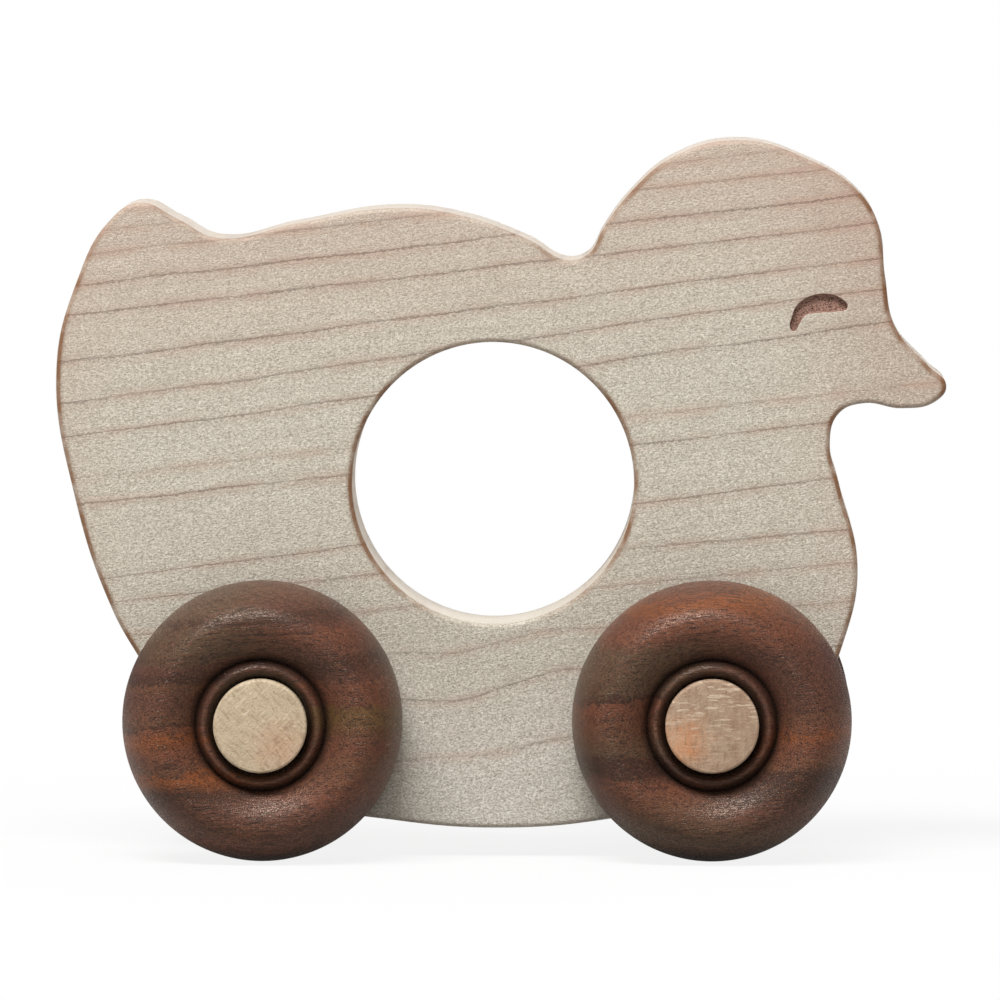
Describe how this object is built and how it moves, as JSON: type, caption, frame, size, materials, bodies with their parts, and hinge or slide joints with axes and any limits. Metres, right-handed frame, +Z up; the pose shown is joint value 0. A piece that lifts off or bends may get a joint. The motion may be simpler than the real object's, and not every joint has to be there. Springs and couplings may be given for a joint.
{
  "type": "wheeled duck toy",
  "caption": "Flat wooden duck push toy with a round finger hole and an engraved closed eye, rolling on turned dark wood wheels fixed to dowel axles.",
  "frame": {"origin": "on the floor under the wheels, below the middle of the toy's box", "axes": "+X towards the bill, +Y towards the duck's own left, +Z up"},
  "size_m": [0.1212, 0.053, 0.0978],
  "materials": {
    "maple_board": "sanded, thin oil, matt",
    "maple_dowel": "cut end grain, thin oil, matt",
    "walnut": "turned and oiled, satin"
  },
  "bodies": {
    "body": {"duck_body": "maple_board"},
    "rear_wheelset": {"rear_axle": "maple_dowel", "rear_left_wheel": "walnut", "rear_right_wheel": "walnut"},
    "front_wheelset": {"front_axle": "maple_dowel", "front_left_wheel": "walnut", "front_right_wheel": "walnut"}
  },
  "joints": [
    {"name": "rear_axle_spin", "type": "hinge", "parent": "body", "child": "rear_wheelset", "pos_m": [-0.0324, 0, 0.01901], "axis": [0, 1, 0], "continuous": true},
    {"name": "front_axle_spin", "type": "hinge", "parent": "body", "child": "front_wheelset", "pos_m": [0.0287, 0, 0.01901], "axis": [0, 1, 0], "continuous": true}
  ]
}
